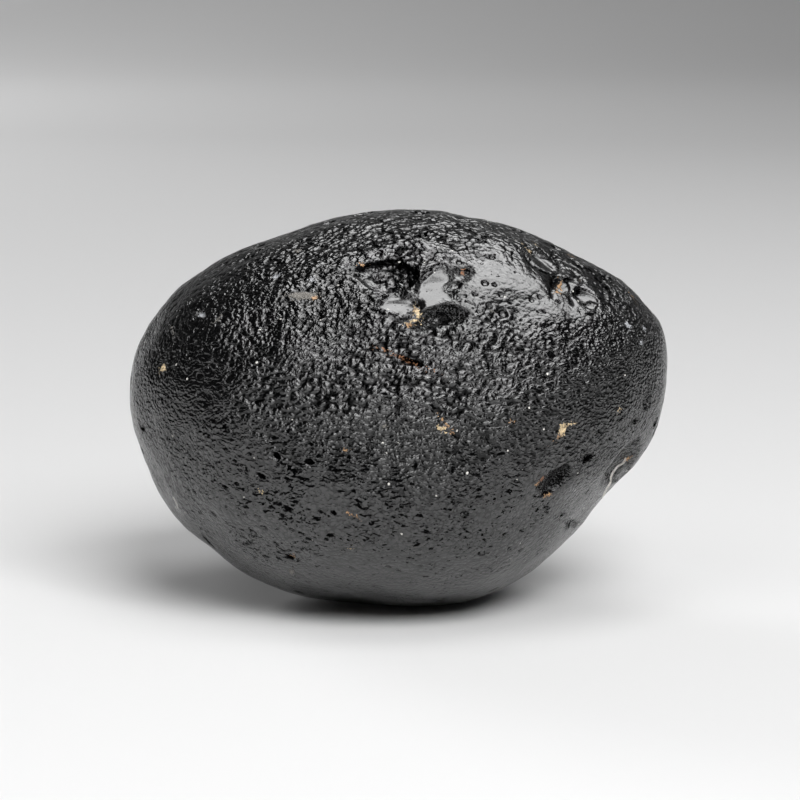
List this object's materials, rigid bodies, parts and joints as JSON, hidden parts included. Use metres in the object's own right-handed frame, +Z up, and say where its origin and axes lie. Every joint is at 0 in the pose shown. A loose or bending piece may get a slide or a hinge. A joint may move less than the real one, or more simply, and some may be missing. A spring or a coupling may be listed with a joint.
{
  "type": "indochinite tektite",
  "caption": "Egg-shaped lump of natural black glass with an etched, pitted skin, resting on a small worn spot.",
  "frame": {"origin": "middle of the box on the surface that the lump rests on", "axes": "+X along the lump's long axis towards its blunter pointed end, +Z up from the resting surface, -Y towards the front"},
  "size_m": [0.0602, 0.0458, 0.0439],
  "materials": {
    "etched_glass": "opaque black natural glass with a satin etched skin, finely wrinkled like orange peel, mirror-bright where it is smooth, with tan soil left in some pits"
  },
  "bodies": {
    "root": {"tektite": "etched_glass"}
  },
  "joints": []
}
